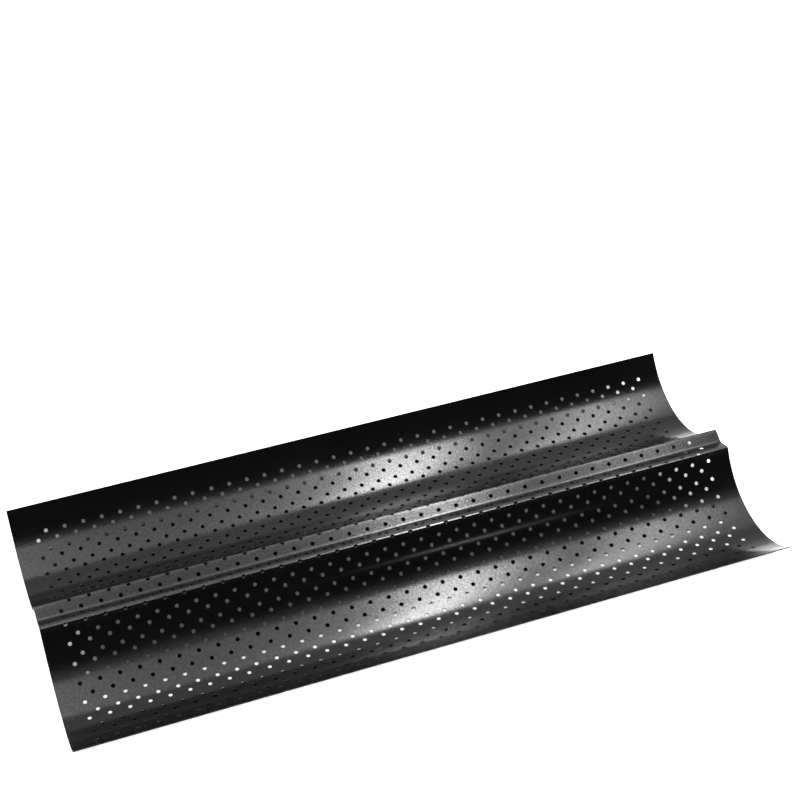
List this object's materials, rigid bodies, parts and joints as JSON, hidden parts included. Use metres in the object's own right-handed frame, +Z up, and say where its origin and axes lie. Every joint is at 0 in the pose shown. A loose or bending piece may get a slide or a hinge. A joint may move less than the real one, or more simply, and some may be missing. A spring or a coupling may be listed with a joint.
{
  "type": "baguette tray",
  "caption": "Perforated non-stick baguette tray pressed from one thin steel sheet, with two long round-bottomed troughs side by side and a grooved ridge between them.",
  "frame": {"origin": "middle of the bounding box's base, on the plane the undersides of the two troughs rest on", "axes": "+X along the troughs, +Y towards the taller rim, +Z up out of the troughs"},
  "size_m": [0.38, 0.1616, 0.0245],
  "materials": {
    "nonstick_coating": "half-gloss black non-stick coating on thin carbon steel"
  },
  "bodies": {
    "root": {"pressed_sheet": "nonstick_coating"}
  },
  "joints": []
}
